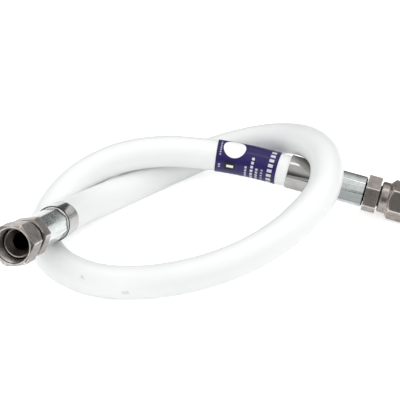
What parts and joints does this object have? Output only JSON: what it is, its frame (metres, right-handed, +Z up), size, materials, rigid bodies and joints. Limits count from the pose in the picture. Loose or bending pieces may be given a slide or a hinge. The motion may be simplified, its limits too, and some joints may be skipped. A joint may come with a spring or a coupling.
{
  "type": "oil disposal hose",
  "caption": "White flexible oil disposal hose laid in a loop, with a hexagonal swivel nut fitting crimped on each end, a polished band beside each crimp and a dark blue wrap label",
  "frame": {"origin": "centre of the footprint, on the surface that the hose lies on", "axes": "+Z up from the surface; +X along the loop's longer side, towards the right fitting's nut; +Y away from the viewer of the picture"},
  "size_m": [0.2858, 0.209, 0.08],
  "materials": {
    "liner": "smooth fluoropolymer liner, slightly waxy",
    "braid": "fine stainless wire braid, hidden under the cover",
    "cover": "smooth milky white cover with a soft sheen",
    "label": "dark blue laminated wrap with plain white marks under a clear film",
    "fitting_steel": "satin machined steel, slightly stained",
    "collar_zinc": "pale zinc plate with lengthwise crimp marks",
    "band_steel": "polished stainless band"
  },
  "bodies": {
    "hose": {"hose_liner": "liner", "wire_braid": "braid", "hose_cover": "cover", "label": "label", "left_insert": "fitting_steel", "left_crimp_collar": "collar_zinc", "left_band": "band_steel", "right_insert": "fitting_steel", "right_crimp_collar": "collar_zinc", "right_band": "band_steel"},
    "left_nut": {"left_swivel_nut": "fitting_steel"},
    "right_nut": {"right_swivel_nut": "fitting_steel"}
  },
  "joints": [
    {"name": "left_nut_swivel", "type": "hinge", "parent": "hose", "child": "left_nut", "pos_m": [-0.12732, -0.09216, 0.06471], "axis": [0.2458, 0.8864, -0.3923], "continuous": true},
    {"name": "right_nut_swivel", "type": "hinge", "parent": "hose", "child": "right_nut", "pos_m": [0.13217, 0.02892, 0.0139], "axis": [-0.9567, 0.2456, 0.1564], "continuous": true}
  ]
}
